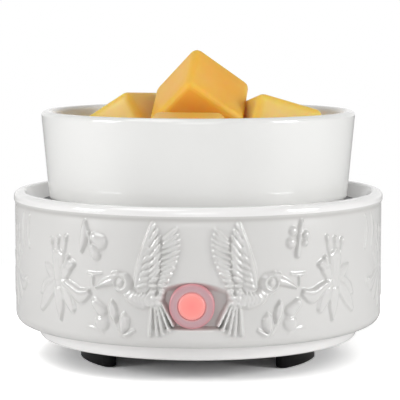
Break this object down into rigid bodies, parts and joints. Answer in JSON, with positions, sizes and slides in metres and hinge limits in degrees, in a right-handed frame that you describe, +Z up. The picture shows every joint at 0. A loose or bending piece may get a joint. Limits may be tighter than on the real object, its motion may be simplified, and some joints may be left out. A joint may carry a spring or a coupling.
{
  "type": "wax melt warmer",
  "caption": "Round ceramic wax melt warmer: a relief-decorated drum base with a lit push button and a hot plate, under a lift-off flared dish of wax cubes.",
  "frame": {"origin": "on the table under the middle of the round base", "axes": "+Z up along the axis of the base and the dish, -Y to the front with the button, +X to the right as seen from the front"},
  "size_m": [0.1348, 0.1364, 0.1117],
  "materials": {
    "ceramic_glaze": "clear gloss glaze over white stoneware",
    "hot_plate": "dark grey non-stick coating on aluminium",
    "silicone": "flat grey silicone",
    "heater_ceramic": "matt fired heater disc",
    "steel": "zinc plated",
    "brass": "turned",
    "cover_plastic": "fine moulded texture",
    "black_plastic": "moulded",
    "fuse_ceramic": "matt",
    "board": "solder mask over glass laminate",
    "terminal_plastic": "moulded",
    "capacitor_plastic": "moulded",
    "lead_sleeve": "silicone sleeve",
    "black_rubber": "moulded satin",
    "bezel_plastic": "frosted translucent, lit from the cap",
    "lit_button": "translucent, lit from behind",
    "led": "clear red",
    "wax": "translucent soft sheen"
  },
  "bodies": {
    "base": {"housing": "ceramic_glaze", "wall_relief": "ceramic_glaze", "heating_plate": "hot_plate", "plate_seal": "silicone", "heater_disc": "heater_ceramic", "heater_clamp": "steel", "clamp_washer": "steel", "clamp_nut": "steel", "thermostat": "black_plastic", "thermal_fuse": "fuse_ceramic", "fuse_clip": "steel", "standoffs": "brass", "base_cover": "cover_plastic", "cover_screws": "steel", "control_board": "board", "board_screws": "steel", "terminal_block": "terminal_plastic", "film_capacitor": "capacitor_plastic", "power_triac": "black_plastic", "heater_leads": "lead_sleeve", "cord_grommet": "black_rubber", "button_bezel": "bezel_plastic", "switch_nut": "bezel_plastic", "switch_body": "black_plastic", "button_leds": "led", "switch_leads": "lead_sleeve", "foot_front_left": "black_rubber", "foot_front_right": "black_rubber", "foot_rear_left": "black_rubber", "foot_rear_right": "black_rubber"},
    "button": {"button_cap": "lit_button"},
    "dish": {"wax_dish": "ceramic_glaze"},
    "wax": {"wax_cube_left": "wax", "wax_cube_right": "wax", "wax_cube_front": "wax", "wax_cube_rear": "wax", "wax_cube_top": "wax"}
  },
  "joints": [
    {"name": "dish_lift", "type": "slide", "parent": "base", "child": "dish", "axis": [0, 0, 1], "range_m": [0, 0.06]},
    {"name": "wax_lift", "type": "slide", "parent": "dish", "child": "wax", "axis": [0, 0, 1], "range_m": [0, 0.06]},
    {"name": "button_press", "type": "slide", "parent": "base", "child": "button", "axis": [0, 1, 0], "range_m": [0, 0.0012], "stiffness_N_per_m": 2000}
  ]
}
